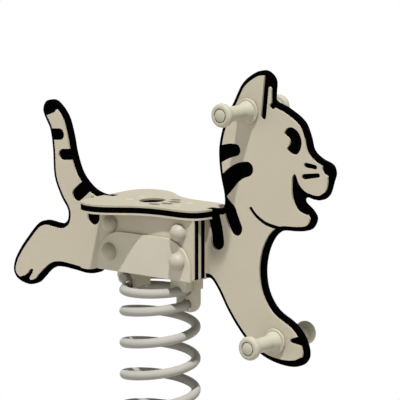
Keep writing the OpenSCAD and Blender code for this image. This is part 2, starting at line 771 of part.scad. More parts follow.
module head_weld_nuts() {
    color(zinc) for (x = [-head_bolt_x, head_bolt_x], y = [-head_bolt_y, head_bolt_y])
        translate([x, y, boards_z]) hex_nut(head_bolt_d, nut_h_share * head_bolt_d);
}

// Room for the weld nuts and the bolts' tips, in the undersides of the inner boards
module nut_pockets() {
    for (x = [-head_bolt_x, head_bolt_x], y = [-head_bolt_y, head_bolt_y])
        translate([x, y, boards_z - overrun])
            cylinder(r = nut_af_share * head_bolt_d / 2 / cos(30) + pocket_room,
                h = nut_h_share * head_bolt_d + head_bolt_tip + pocket_room + overrun);
}

// Body

module grip_holes(y, t) {
    bar_y(handle_x, handle_z, y - overrun, t + 2 * overrun, rod_d + 2 * hole_clearance);
    bar_y(footrest_x, footrest_z, y - overrun, t + 2 * overrun, rod_d + 2 * hole_clearance);
}

module body_core() {
    color(black) difference() {
        upright(-core_t / 2, core_t) polygon(body_outline);
        side_bolt_holes(-core_t / 2, core_t);
        grip_holes(-core_t / 2, core_t);
    }
}

// The black strokes and patches of the drawing
module drawing() {
    for (s = stroke_shares)
        polygon(stroke(all_on_body(s[0]), s[1] * body_height, s[2] * body_height));
    for (patch = [tail_tip_shares, ear_tip_shares, nose_shares, hind_toe_shares])
        polygon(all_on_body(patch));
    for (patch = [eye_shares, mouth_shares])
        polygon(closed_curve(all_on_body(patch)));
}

// A pale skin: the outline inside its rim, with the patches that narrow the rim, less the drawing
module body_skin(y) {
    color(pale) difference() {
        union() {
            upright(y, skin_t) difference() {
                polygon(inset(rim_line, rim_w));
                drawing();
            }
            for (patch = [ear_slit_shares, muzzle_shares])
                upright(y, skin_t) difference() {
                    polygon(all_on_body(patch));
                    drawing();
                }
        }
        side_bolt_holes(y, skin_t);
        grip_holes(y, skin_t);
    }
}

module body_skin_right() {
    body_skin(-half_t);
}

module body_skin_left() {
    body_skin(core_t / 2);
}

// A layer of a spacer board, from y to y + t
module board_layer(y, t) {
    translate([board_shift - board_l / 2, y, boards_z]) cube([board_l, t, board_h]);
}

module board_cuts(y, t) {
    side_bolt_holes(y, t);
    nut_pockets();
    seat_screw_holes(screw_z, ledge_z - screw_z + overrun, seat_screw_d + 2 * thread_clearance);
}

module board_core(y) {
    color(black) difference() {
        board_layer(y + skin_t, core_t);
        board_cuts(y, sheet_t);
    }
}

module board_skins(y) {
    color(pale) for (skin_y = [y, y + skin_t + core_t])
        difference() {
            board_layer(skin_y, skin_t);
            board_cuts(y, sheet_t);
        }
}

// Side bolts

module side_bolts() {
    color(zinc) for (p = side_places) {
        reach = p[2] + side_washer_t + side_nut_h + side_tip;
        bar_y(p[0], p[1], -reach, 2 * reach, side_bolt_d);
    }
}

// What stands on the right face, at each side bolt, turned to look out along -Y
module on_right_face(lift) {
    for (p = side_places)
        translate([p[0], -p[2] - lift, p[1]]) rotate([90, 0, 0]) children();
}

module side_washers_right() {
    color(zinc) on_right_face(0)
        washer(2 * cap_washer_r, side_bolt_d + 2 * hole_clearance, side_washer_t);
}

module side_nuts_right() {
    color(zinc) on_right_face(side_washer_t) hex_nut(side_bolt_d, side_nut_h);
}

module bolt_caps_right() {
    r = cap_d / 2;
    color(pale) on_right_face(0) rotate_extrude() intersection() {
        translate([0, cap_h - r]) difference() {
            circle(r = r);
            circle(r = r - cap_wall);
        }
        square([r, cap_h]);
    }
}

module to_left_side() {
    mirror([0, 1, 0]) children();
}

// Seat

module seat_screw_holes(z, h, d) {
    for (x = [-seat_screw_x, seat_screw_x], y = [-seat_screw_y, seat_screw_y])
        translate([x, y, z]) cylinder(d = d, h = h);
}

module seat_layer(z, t) {
    slot_w = sheet_t + 2 * slot_clearance;
    difference() {
        translate([0, 0, z]) linear_extrude(t) difference() {
            polygon(seat_outline);
            translate([seat_rear_x - overrun, -slot_w / 2]) square([rear_slot_l + overrun, slot_w]);
            translate([front_ledge_x, -slot_w / 2]) square([front_slot_l + overrun, slot_w]);
        }
        seat_screw_holes(ledge_z - overrun, sheet_t + 2 * overrun, seat_screw_d + 2 * hole_clearance);
        seat_screw_holes(seat_z - plug_h - seat_screw_d, plug_h + seat_screw_d + overrun,
            plug_d + 2 * thread_clearance);
    }
}

function oval(share) =
    [
        for (k = [0:paw_points - 1])
            let (turn = 360 * k / paw_points)
            paw_l * [share[0] + share[2] * cos(turn), share[1] + share[3] * sin(turn)]
    ];

module seat_core() {
    color(black) seat_layer(ledge_z + skin_t, core_t);
}

module seat_top_skin() {
    color(pale) difference() {
        seat_layer(seat_z - skin_t, skin_t);
        translate([0, 0, seat_z - skin_t - overrun]) linear_extrude(skin_t + 2 * overrun)
            for (share = paw_shares) polygon(oval(share));
    }
}

module seat_under_skin() {
    color(pale) seat_layer(ledge_z, skin_t);
}

module seat_screws() {
    head_z = seat_z - plug_h - seat_screw_d;
    color(zinc) for (x = [-seat_screw_x, seat_screw_x], y = [-seat_screw_y, seat_screw_y])
        translate([x, y, screw_z]) {
            cylinder(d = seat_screw_d, h = head_z - screw_z);
            translate([0, 0, head_z - screw_z]) cylinder(d = screw_head_d, h = seat_screw_d);
        }
}

module seat_plugs() {
    color(pale) seat_screw_holes(seat_z - plug_h, plug_h, plug_d);
}

// Grips

module round_disc(r, t, e) {
    square([r - e, t]);
    translate([0, e]) square([r, t - 2 * e]);
    for (z = [e, t - e]) translate([r - e, z]) circle(r = e);
}

// A grip along +Z, from the body's face outwards: two flanges, a flare and a straight waist
module grip() {
    waist_r = grip_d / 2;
    foot_e = flange_round_share * foot_flange_t;
    end_e = flange_round_share * flange_t;
    flare_l = flare_l_share * grip_l;
    flare_r = waist_r + flare_d_share * (flange_d / 2 - waist_r);
    rotate_extrude() difference() {
        union() {
            square([waist_r, grip_l]);
            round_disc(foot_flange_d / 2, foot_flange_t, foot_e);
            polygon([[0, 0], [flare_r, 0], [flare_r, foot_flange_t],
                [waist_r, foot_flange_t + flare_l], [0, foot_flange_t + flare_l]]);
            translate([0, grip_l - flange_t]) round_disc(flange_d / 2, flange_t, end_e);
        }
        translate([0, -overrun]) square([rod_d / 2 + hole_clearance, grip_l + 2 * overrun]);
        translate([0, grip_l - plug_seat_h]) square([plug_seat_d / 2, plug_seat_h + overrun]);
        translate([0, grip_l - plug_seat_h - nut_pocket_h])
            square([nut_pocket_d / 2, nut_pocket_h + overrun]);
    }
}

// The plug in a grip's end, on its own floor, with a groove round its dome
module end_cap() {
    r = plug_seat_d / 2 - thread_clearance;
    dome_r = groove_share * r;
    groove_h = groove_h_share * plug_seat_h;
    ball_r = (pow(dome_r, 2) + pow(end_dome_h, 2)) / (2 * end_dome_h);
    rotate_extrude() {
        square([r, plug_seat_h - groove_h]);
        square([dome_r, plug_seat_h]);
        intersection() {
            translate([0, plug_seat_h + end_dome_h - ball_r]) circle(r = ball_r, $fn = 256);
            translate([0, plug_seat_h - overrun]) square([dome_r, end_dome_h + overrun]);
        }
    }
}

// At a grip's place, outwards to the right (-1) or the left (1)
module grip_axis(x, z, side) {
    translate([x, side * half_t, z]) rotate([-90 * side, 0, 0]) children();
}

nut_floor = grip_l - plug_seat_h - nut_pocket_h;
rod_reach = half_t + nut_floor + rod_washer_t + rod_nut_h + thread_clearance;

module grip_rod(x, z) {
    color(zinc) bar_y(x, z, -rod_reach, 2 * rod_reach, rod_d);
}

module grip_washers(x, z) {
    color(zinc) for (side = [-1, 1])
        grip_axis(x, z, side) translate([0, 0, nut_floor])
            washer(nut_pocket_d - pocket_room, rod_d + 2 * hole_clearance, rod_washer_t);
}

module grip_nuts(x, z) {
    color(zinc) for (side = [-1, 1])
        grip_axis(x, z, side) translate([0, 0, nut_floor + rod_washer_t]) hex_nut(rod_d, rod_nut_h);
}

module grip_caps(x, z) {
    color(pale) for (side = [-1, 1])
        grip_axis(x, z, side) translate([0, 0, grip_l - plug_seat_h]) end_cap();
}

base_plate();
base_clamp(base_angles[0]);  // base_clamp_front
base_clamp(base_angles[1]);  // base_clamp_left
base_clamp(base_angles[2]);  // base_clamp_rear
base_clamp(base_angles[3]);  // base_clamp_right
base_clamp_bolts();
coil_spring();
spring_saddle();
head_block_front();
head_block_rear();
head_jaw_rear();
coil_stop_plate();
head_clamp_bolts();
head_weld_nuts();
body_core();
body_skin_right();
body_skin_left();
board_core(-outer_y);  // inner_board_right_core
board_skins(-outer_y);  // inner_board_right_skins
board_core(-cheek_y);  // outer_board_right_core
board_skins(-cheek_y);  // outer_board_right_skins
board_core(inner_y);  // inner_board_left_core
board_skins(inner_y);  // inner_board_left_skins
board_core(outer_y);  // outer_board_left_core
board_skins(outer_y);  // outer_board_left_skins
side_bolts();
side_washers_right();
to_left_side() side_washers_right();  // side_washers_left
side_nuts_right();
to_left_side() side_nuts_right();  // side_nuts_left
bolt_caps_right();
to_left_side() bolt_caps_right();  // bolt_caps_left
seat_core();
seat_top_skin();
seat_under_skin();
seat_screws();
seat_plugs();
grip_rod(handle_x, handle_z);  // handle_rod
color(pale) grip_axis(handle_x, handle_z, -1) grip();  // handle_grip_right
color(pale) grip_axis(handle_x, handle_z, 1) grip();  // handle_grip_left
grip_washers(handle_x, handle_z);  // handle_washers
grip_nuts(handle_x, handle_z);  // handle_nuts
grip_caps(handle_x, handle_z);  // handle_end_caps
grip_rod(footrest_x, footrest_z);  // footrest_rod
color(pale) grip_axis(footrest_x, footrest_z, -1) grip();  // footrest_grip_right
color(pale) grip_axis(footrest_x, footrest_z, 1) grip();  // footrest_grip_left
grip_washers(footrest_x, footrest_z);  // footrest_washers
grip_nuts(footrest_x, footrest_z);  // footrest_nuts
grip_caps(footrest_x, footrest_z);  // footrest_end_caps
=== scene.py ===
import math

import bpy
import numpy as np
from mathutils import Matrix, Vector


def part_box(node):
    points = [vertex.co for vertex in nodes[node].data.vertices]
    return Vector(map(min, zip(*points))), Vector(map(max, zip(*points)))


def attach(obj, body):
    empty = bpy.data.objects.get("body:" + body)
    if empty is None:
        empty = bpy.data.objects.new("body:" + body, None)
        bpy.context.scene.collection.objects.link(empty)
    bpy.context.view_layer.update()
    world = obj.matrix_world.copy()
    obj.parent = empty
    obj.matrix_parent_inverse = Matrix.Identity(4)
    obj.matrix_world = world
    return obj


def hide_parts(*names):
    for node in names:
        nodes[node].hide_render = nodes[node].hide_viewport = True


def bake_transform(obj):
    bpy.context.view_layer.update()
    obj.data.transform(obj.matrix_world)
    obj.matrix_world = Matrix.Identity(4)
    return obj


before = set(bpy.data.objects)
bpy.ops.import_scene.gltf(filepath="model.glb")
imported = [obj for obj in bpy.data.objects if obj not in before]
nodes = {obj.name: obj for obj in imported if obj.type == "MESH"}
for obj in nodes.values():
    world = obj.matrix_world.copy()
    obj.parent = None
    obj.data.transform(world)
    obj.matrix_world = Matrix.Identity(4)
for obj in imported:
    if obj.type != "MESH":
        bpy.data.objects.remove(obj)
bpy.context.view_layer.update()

# The sizes of forms and finishes below are in millimetres, and Blender works in metres
MM = 0.001

RIGHT = (0.0, -1.0, 0.0)
LEFT = (0.0, 1.0, 0.0)
UP = (0.0, 0.0, 1.0)
DOWN = (0.0, 0.0, -1.0)

# Spring: the same coil as the solid's, wound round the Z axis
WIRE_D = 18.0
COIL_R = 70.0
WIRE_START_Z = 22.21
CLOSED_PITCH = 21.0
ACTIVE_PITCH = 62.9
CLOSED_TURNS = 0.955
RAMP_TURNS = 1.0
ACTIVE_TURNS = 3.0
TOTAL_TURNS = 2 * (CLOSED_TURNS + RAMP_TURNS) + ACTIVE_TURNS
MIDDLE_TURN = TOTAL_TURNS / 2
TOP_ANGLE = math.radians(203.5)
# Each end of the wire is straight for one diameter, with rings at these shares of it, and has a chamfered cut
TAIL_SHARES = (0.34, 0.67)
WIRE_CHAMFER = 1.0
RINGS_PER_TURN = 60
WIRE_SIDES = 28
# Step, in turns, over which the slope of the coil is measured
SLOPE_STEP = 1e-4

# Weld beads beside the head blocks, along the underside of the saddle
WELD_R = 2.6
WELD_INSET = 3 * WELD_R
WELD_SIDES = 12
WELD_STEP = 0.4
# Ripples of a bead: their share of its radius, and their spacing
WELD_RIPPLE_SHARE = 0.13
WELD_RIPPLE = 3.2
# Ends of a bead: the power in the curve of their taper, and the least that is left under its root
WELD_TAPER_POWER = 8
WELD_TIP = 0.02
# Tack weld at the wire's upper end: where it starts and ends along the straight tail
TACK_START = 3.0
TACK_END = 16.0

# Roundings of the cut, routed and bent edges
ROUTED_EDGE = 0.9
SEAT_EDGE = 1.7
STEEL_EDGE = 0.7
FORGED_EDGE = 1.6
FASTENER_EDGE = 0.5
PLUG_EDGE = 0.35
SAW_EDGE = 0.6
UNROUNDED = 0
ROUNDING_STEPS = 3
# Points of a solid that lie closer than this are joined
JOIN_GAP = 0.001
# An edge counts as part of an outer face when it lies within a hair of it
HAIR = 0.05
# Turns from face to face, in degrees: up to the first they are one flat, past the second their edge is
# rounded, and from the third on the shading breaks there
FLAT_TURN = 0.1
SHARP_TURN = 30
SMOOTH_TURN = 38

# The real grains are too fine to show in the render, where a pixel spans about 2 mm: each is drawn this many
# times coarser and deeper
COARSER = 3.5
# Noise patterns: how many finer layers each has, and how strong a layer is beside the one before it
CLOUD_LAYERS = 3.0
CLOUD_STRENGTH = 0.55
PATCH_LAYERS = 2.0
GRAIN_LAYERS = 2.0
GRAIN_STRENGTH = 0.5
# The roughness swings by this much to each side, between these two values of the clouds
GLOSS_SWING = 0.05
CLOUD_LOW = 0.3
CLOUD_HIGH = 0.7
# Painted shade in corners, where neighbours block the light: its tone, how near a neighbour shades a place,
# and how open, from 0 to 1, a place is where the painted shade is full and where there is none
CORNER_SHADE_TONE = "#80786a"
CORNER_SHADE_REACH = 70.0
CORNER_SHADE_FULL = 0.35
CORNER_SHADE_NONE = 0.95
# Rubbing along edges: how far it reaches, the size of its patches, its greatest share, and how open, looking
# into the piece, a place is where the rubbing is full and where there is none
RUB_REACH = 2.5
RUB_BREAK = 9.0
RUB_SHARE = 0.7
RUB_FULL = 0.4
RUB_NONE = 0.9
OPENNESS_SAMPLES = 16

# Mix has sockets of one name for each kind of data: these are its share, its two colours and its result
SHARE = 0
FIRST = 6
SECOND = 7
MIXED = 2


# Colour and shader nodes

def linear(code):
    """A linear colour from an sRGB hex code: the sRGB curve undone, channel by channel."""
    srgb = [int(code[i:i + 2], 16) / 255 for i in (1, 3, 5)]
    return [c / 12.92 if c <= 0.04045 else ((c + 0.055) / 1.055) ** 2.4 for c in srgb] + [1.0]


def add(tree, kind, settings, inputs):
    """Adds one node with its settings; an input is a constant, or another node's output socket."""
    node = tree.nodes.new(kind)
    for key, value in settings.items():
        setattr(node, key, value)
    for key, value in inputs.items():
        if isinstance(value, bpy.types.NodeSocket):
            tree.links.new(value, node.inputs[key])
        else:
            node.inputs[key].default_value = value
    return node


def per_metre(size_mm):
    """A noise scale, in cells a metre, for a pattern of that size."""
    return 1 / (size_mm * MM)


def finish_of(name, low, high, rubbed, cloud, grain, depth, rough, corner_shade, settings):
    """A material: two near tones in clouds that also sway its gloss, painted shade in corners, a rubbed tone
    in patches along edges, and an even fine grain in relief. cloud, grain and depth are sizes in
    millimetres, and the share given after rough is the greatest share of the painted shade."""
    material = bpy.data.materials.new(name)
    material.use_nodes = True
    tree = material.node_tree
    shader = tree.nodes["Principled BSDF"]
    place = add(tree, "ShaderNodeTexCoord", {}, {}).outputs["Object"]
    clouds = add(tree, "ShaderNodeTexNoise", {}, {
        "Vector": place, "Scale": per_metre(cloud), "Detail": CLOUD_LAYERS, "Roughness": CLOUD_STRENGTH})
    tone = add(tree, "ShaderNodeMix", {"data_type": "RGBA"}, {
        SHARE: clouds.outputs["Fac"], FIRST: linear(low), SECOND: linear(high)})
    # Painted shade: the tone is darkened where neighbours are near, as shade falls in corners and between
    # parts
    corner = add(tree, "ShaderNodeAmbientOcclusion", {"samples": OPENNESS_SAMPLES}, {
        "Distance": CORNER_SHADE_REACH * MM})
    corner_shade_share = add(tree, "ShaderNodeMapRange", {}, {
        "Value": corner.outputs["AO"], "From Min": CORNER_SHADE_FULL, "From Max": CORNER_SHADE_NONE,
        "To Min": corner_shade, "To Max": 0.0})
    corner_shaded_tone = add(tree, "ShaderNodeMix", {"data_type": "RGBA", "blend_type": "MULTIPLY"}, {
        SHARE: corner_shade_share.outputs["Result"], FIRST: tone.outputs[MIXED], SECOND: linear(CORNER_SHADE_TONE)})
    edge = add(tree, "ShaderNodeAmbientOcclusion", {
        "samples": OPENNESS_SAMPLES, "inside": True, "only_local": True}, {"Distance": RUB_REACH * MM})
    patches = add(tree, "ShaderNodeTexNoise", {}, {
        "Vector": place, "Scale": per_metre(RUB_BREAK), "Detail": PATCH_LAYERS})
    rub = add(tree, "ShaderNodeMapRange", {}, {
        "Value": edge.outputs["AO"], "From Min": RUB_FULL, "From Max": RUB_NONE,
        "To Min": RUB_SHARE, "To Max": 0.0})
    patchy = add(tree, "ShaderNodeMath", {"operation": "MULTIPLY"}, {
        0: rub.outputs["Result"], 1: patches.outputs["Fac"]})
    worn = add(tree, "ShaderNodeMix", {"data_type": "RGBA"}, {
        SHARE: patchy.outputs["Value"], FIRST: corner_shaded_tone.outputs[MIXED], SECOND: linear(rubbed)})
    pebbles = add(tree, "ShaderNodeTexNoise", {}, {
        "Vector": place, "Scale": per_metre(COARSER * grain), "Detail": GRAIN_LAYERS,
        "Roughness": GRAIN_STRENGTH})
    relief = add(tree, "ShaderNodeBump", {}, {
        "Height": pebbles.outputs["Fac"], "Distance": COARSER * depth * MM, "Strength": 1.0})
    gloss = add(tree, "ShaderNodeMapRange", {}, {
        "Value": clouds.outputs["Fac"], "From Min": CLOUD_LOW, "From Max": CLOUD_HIGH,
        "To Min": rough - GLOSS_SWING, "To Max": rough + GLOSS_SWING})
    tree.links.new(worn.outputs[MIXED], shader.inputs["Base Color"])
    tree.links.new(gloss.outputs["Result"], shader.inputs["Roughness"])
    tree.links.new(relief.outputs["Normal"], shader.inputs["Normal"])
    for key, value in settings.items():
        shader.inputs[key].default_value = value
    return material


# Materials

# Every finish below paints shade into its corners, up to the share given after rough
# HDPE board, pale outer layer, rolled with a fine pebbled grain: matt, and almost even in tone
board_skin = finish_of(
    "hdpe_board_skin", low="#c9c0ab", high="#cfc6b2", rubbed="#d6cfbe", cloud=160, grain=1.5, depth=0.03,
    rough=0.56, corner_shade=0.34, settings={"IOR": 1.5, "Specular IOR Level": 0.2})
# HDPE board, pale outer layer of the seat, and duller: the board skin painted darker, as shade
# on a top that faces the lamp
seat_skin_painted_shade = finish_of(
    "hdpe_seat_skin_painted_shade", low="#afa894", high="#b7b09c", rubbed="#c0b9a7", cloud=130, grain=1.5, depth=0.03,
    rough=0.62, corner_shade=0.2, settings={"IOR": 1.5, "Specular IOR Level": 0.1})
# HDPE board, black inner layer, laid bare by a router: fine furrows swallow most of its sheen
board_core = finish_of(
    "hdpe_board_core", low="#030203", high="#060505", rubbed="#0c0b0c", cloud=60, grain=1.6, depth=0.03,
    rough=0.88, corner_shade=0.4, settings={"IOR": 1.5, "Specular IOR Level": 0.004})
# Powder-coated steel, baked: a soft sheen over a low orange peel, the coat thin and greyer along edges
powder_coat = finish_of(
    "powder_coated_steel", low="#cec7b4", high="#d5cebc", rubbed="#b9b3a4", cloud=120, grain=2.2, depth=0.02,
    rough=0.5, corner_shade=0.08, settings={"IOR": 1.5, "Specular IOR Level": 0.2})
# Powder-coated steel at ground level: the same coat painted darker, as shade on tops that face the lamp,
# duller, and mottled by splashes
base_coat_painted_shade = finish_of(
    "splashed_powder_coat_painted_shade", low="#aaa493", high="#bab4a3", rubbed="#a9a498", cloud=45, grain=2.2, depth=0.03,
    rough=0.6, corner_shade=0.4, settings={"IOR": 1.5, "Specular IOR Level": 0.2})
# Spring steel, shot-peened and then powder-coated: the dimpled wire keeps the coat greyer and duller
spring_coat = finish_of(
    "powder_coated_spring_wire", low="#aeaba3", high="#b7b4ac", rubbed="#c0bdb4", cloud=90, grain=2.6,
    depth=0.03, rough=0.5, corner_shade=0.34, settings={"IOR": 1.5, "Specular IOR Level": 0.06})
# Zinc-plated steel, passivated: grey metal, a little dull, with pale clouds
zinc_steel = finish_of(
    "zinc_plated_steel", low="#aaa79f", high="#c0bdb4", rubbed="#cfccc5", cloud=12, grain=0.8, depth=0.01,
    rough=0.38, corner_shade=0.3, settings={"Metallic": 1.0})
# Polypropylene, injection moulded in a spark-textured tool: an even satin
moulded_grip = finish_of(
    "moulded_polypropylene", low="#bebaa6", high="#c4c0ac", rubbed="#cac6b5", cloud=70, grain=0.9, depth=0.02,
    rough=0.48, corner_shade=0.06, settings={"IOR": 1.49, "Specular IOR Level": 0.2})
# Polyethylene, injection moulded in a polished tool: smoother and glossier, with painted shade round the rims
moulded_cap = finish_of(
    "moulded_polyethylene", low="#b7b09e", high="#bdb6a4", rubbed="#c5bfaf", cloud=50, grain=0.9, depth=0.008,
    rough=0.4, corner_shade=0.45, settings={"IOR": 1.51, "Specular IOR Level": 0.25})


# Finishing the solids

def edge_weights():
    """A node group that marks for rounding each edge that turns by more than SHARP_TURN and lies further
    along Way than Past."""
    group = bpy.data.node_groups.new("edges_to_round", "GeometryNodeTree")
    group.interface.new_socket("Geometry", in_out="INPUT", socket_type="NodeSocketGeometry")
    group.interface.new_socket("Way", in_out="INPUT", socket_type="NodeSocketVector")
    group.interface.new_socket("Past", in_out="INPUT", socket_type="NodeSocketFloat")
    group.interface.new_socket("Geometry", in_out="OUTPUT", socket_type="NodeSocketGeometry")
    given = add(group, "NodeGroupInput", {}, {})
    turn = add(group, "GeometryNodeInputMeshEdgeAngle", {}, {})
    sharp = add(group, "FunctionNodeCompare", {"operation": "GREATER_THAN"}, {
        "A": turn.outputs["Unsigned Angle"], "B": math.radians(SHARP_TURN)})
    place = add(group, "GeometryNodeInputPosition", {}, {})
    along = add(group, "ShaderNodeVectorMath", {"operation": "DOT_PRODUCT"}, {
        0: place.outputs["Position"], 1: given.outputs["Way"]})
    past = add(group, "FunctionNodeCompare", {"operation": "GREATER_THAN"}, {
        "A": along.outputs["Value"], "B": given.outputs["Past"]})
    both = add(group, "FunctionNodeBooleanMath", {"operation": "AND"}, {
        0: sharp.outputs["Result"], 1: past.outputs["Result"]})
    mark = add(group, "GeometryNodeStoreNamedAttribute", {"data_type": "FLOAT", "domain": "EDGE"}, {
        "Geometry": given.outputs["Geometry"], "Name": "bevel_weight_edge",
        "Value": both.outputs["Boolean"]})
    add(group, "NodeGroupOutput", {}, {"Geometry": mark.outputs["Geometry"]})
    return group


def smooth_by_angle():
    """A node group for smooth shading, broken at edges that turn by SMOOTH_TURN or more."""
    group = bpy.data.node_groups.new("smooth_by_angle", "GeometryNodeTree")
    group.interface.new_socket("Geometry", in_out="INPUT", socket_type="NodeSocketGeometry")
    group.interface.new_socket("Geometry", in_out="OUTPUT", socket_type="NodeSocketGeometry")
    given = add(group, "NodeGroupInput", {}, {})
    turn = add(group, "GeometryNodeInputMeshEdgeAngle", {}, {})
    gentle = add(group, "FunctionNodeCompare", {"operation": "LESS_THAN"}, {
        "A": turn.outputs["Unsigned Angle"], "B": math.radians(SMOOTH_TURN)})
    faces = add(group, "GeometryNodeSetShadeSmooth", {"domain": "FACE"}, {
        "Geometry": given.outputs["Geometry"], "Shade Smooth": True})
    edges = add(group, "GeometryNodeSetShadeSmooth", {"domain": "EDGE"}, {
        "Geometry": faces.outputs["Geometry"], "Shade Smooth": gentle.outputs["Result"]})
    add(group, "NodeGroupOutput", {}, {"Geometry": edges.outputs["Geometry"]})
    return group


EDGES = edge_weights()
SMOOTH = smooth_by_angle()
# A way, and a distance along it in metres, that every edge lies past
EVERYWHERE = (UP, -1.0)


def dress(names, material, edge_mm, where=EVERYWHERE):
    """Gives solids their finish: points joined, flats merged, edges past where rounded, curves smoothed."""
    for name in names:
        solid = nodes[name]
        solid.data.materials.clear()
        solid.data.materials.append(material)
        join = solid.modifiers.new("join", "WELD")
        join.merge_threshold = JOIN_GAP * MM
        if edge_mm != UNROUNDED:
            flats = solid.modifiers.new("flats", "DECIMATE")
            flats.decimate_type = "DISSOLVE"
            flats.angle_limit = math.radians(FLAT_TURN)
            marks = solid.modifiers.new("marks", "NODES")
            marks.node_group = EDGES
            # The group's inputs Way and Past
            marks["Socket_1"] = where[0]
            marks["Socket_2"] = where[1]
            rounding = solid.modifiers.new("rounding", "BEVEL")
            rounding.limit_method = "WEIGHT"
            rounding.width = edge_mm * MM
            rounding.segments = ROUNDING_STEPS
        smooth = solid.modifiers.new("smooth", "NODES")
        smooth.node_group = SMOOTH
        flat = solid.modifiers.new("flat normals", "WEIGHTED_NORMAL")
        flat.keep_sharp = True


def beyond(node, way):
    """The outer face of a node along a way: the way, and a distance a hair inside that face."""
    low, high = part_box(node)
    reach = max(Vector(way).dot(low), Vector(way).dot(high))
    return (way, reach - HAIR * MM)


dress(["body_core"], board_core, ROUTED_EDGE)
for side, way in (("right", RIGHT), ("left", LEFT)):
    dress([f"body_skin_{side}"], board_skin, ROUTED_EDGE, beyond(f"body_skin_{side}", way))
    for board in ("inner_board", "outer_board"):
        skins = f"{board}_{side}_skins"
        dress([skins], board_skin, SAW_EDGE, beyond(skins, way))
        dress([f"{board}_{side}_core"], board_core, UNROUNDED)
dress(["seat_core"], board_core, UNROUNDED)
# The seat's top skin gets the darker copy of the board skin, painted shade on a face turned to the lamp
dress(["seat_top_skin"], seat_skin_painted_shade, SEAT_EDGE, beyond("seat_top_skin", UP))
dress(["seat_under_skin"], board_skin, ROUTED_EDGE, beyond("seat_under_skin", DOWN))
dress(["spring_saddle", "head_block_front", "head_block_rear", "head_jaw_rear", "coil_stop_plate"],
      powder_coat, STEEL_EDGE)
# The base plate and its clamps get the darker copy of the coat, painted shade against the lamp
dress(["base_plate"], base_coat_painted_shade, STEEL_EDGE)
dress(["base_clamp_front", "base_clamp_left", "base_clamp_rear", "base_clamp_right"],
      base_coat_painted_shade, FORGED_EDGE)
dress(["base_clamp_bolts", "head_clamp_bolts", "head_weld_nuts", "side_nuts_right", "side_nuts_left",
       "handle_nuts", "footrest_nuts"], zinc_steel, FASTENER_EDGE)
dress(["side_bolts", "side_washers_right", "side_washers_left", "seat_screws", "handle_rod",
       "handle_washers", "footrest_rod", "footrest_washers"], zinc_steel, UNROUNDED)
dress(["handle_grip_right", "handle_grip_left", "handle_end_caps", "footrest_grip_right",
       "footrest_grip_left", "footrest_end_caps"], moulded_grip, PLUG_EDGE)
dress(["bolt_caps_right", "bolt_caps_left"], moulded_cap, UNROUNDED)
dress(["seat_plugs"], moulded_cap, PLUG_EDGE)


# New pieces

def closed_tube(name, grid, material):
    """A piece from a grid of points with a row for each ring: a face for each four neighbours, with a ring's
    last point next to its first, and one face over each end."""
    rows, columns = grid.shape[:2]
    here = np.arange(rows * columns).reshape(rows, columns)
    beside = np.roll(here, -1, axis=1)
    quads = np.stack([here[:-1], beside[:-1], beside[1:], here[1:]], axis=-1).reshape(-1, 4)
    faces = quads.tolist() + [here[0, ::-1].tolist(), here[-1].tolist()]
    mesh = bpy.data.meshes.new(name)
    mesh.from_pydata(grid.reshape(-1, 3).tolist(), [], faces)
    mesh.polygons.foreach_set("use_smooth", np.ones(len(faces), bool))
    mesh.materials.append(material)
    piece = bpy.data.objects.new(name, mesh)
    bpy.context.scene.collection.objects.link(piece)
    smooth = piece.modifiers.new("smooth", "NODES")
    smooth.node_group = SMOOTH
    return piece


def unit(v):
    """Vectors of length one, along the last axis."""
    return v / np.linalg.norm(v, axis=-1, keepdims=True)


def rings(centres, ways, outs, radii, sides):
    """Rings of a round tube, in metres: each is its centre plus its radius times (cos a, sin a) on outs and
    on the way square to both outs and the path."""
    angle = 2 * np.pi * np.arange(sides) / sides
    ups = np.cross(ways, outs)
    ring = np.cos(angle)[None, :, None] * outs[:, None] + np.sin(angle)[None, :, None] * ups[:, None]
    return (centres[:, None] + radii[:, None, None] * ring) * MM


# Spring

def rise_from_end(turns):
    """Rise over the first turns: the closed pitch, a pitch that grows evenly, then the full pitch."""
    ramp = np.clip(turns - CLOSED_TURNS, 0, RAMP_TURNS)
    full = np.clip(turns - CLOSED_TURNS - RAMP_TURNS, 0, None)
    extra = ACTIVE_PITCH - CLOSED_PITCH
    return CLOSED_PITCH * turns + extra * ramp ** 2 / (2 * RAMP_TURNS) + extra * full


def coil_height(turns):
    """Height of the wire's centre after some turns; the upper half is the lower half turned over."""
    low = rise_from_end(np.minimum(turns, MIDDLE_TURN))
    high = 2 * rise_from_end(MIDDLE_TURN) - rise_from_end(np.minimum(TOTAL_TURNS - turns, MIDDLE_TURN))
    return WIRE_START_Z + np.where(turns <= MIDDLE_TURN, low, high)


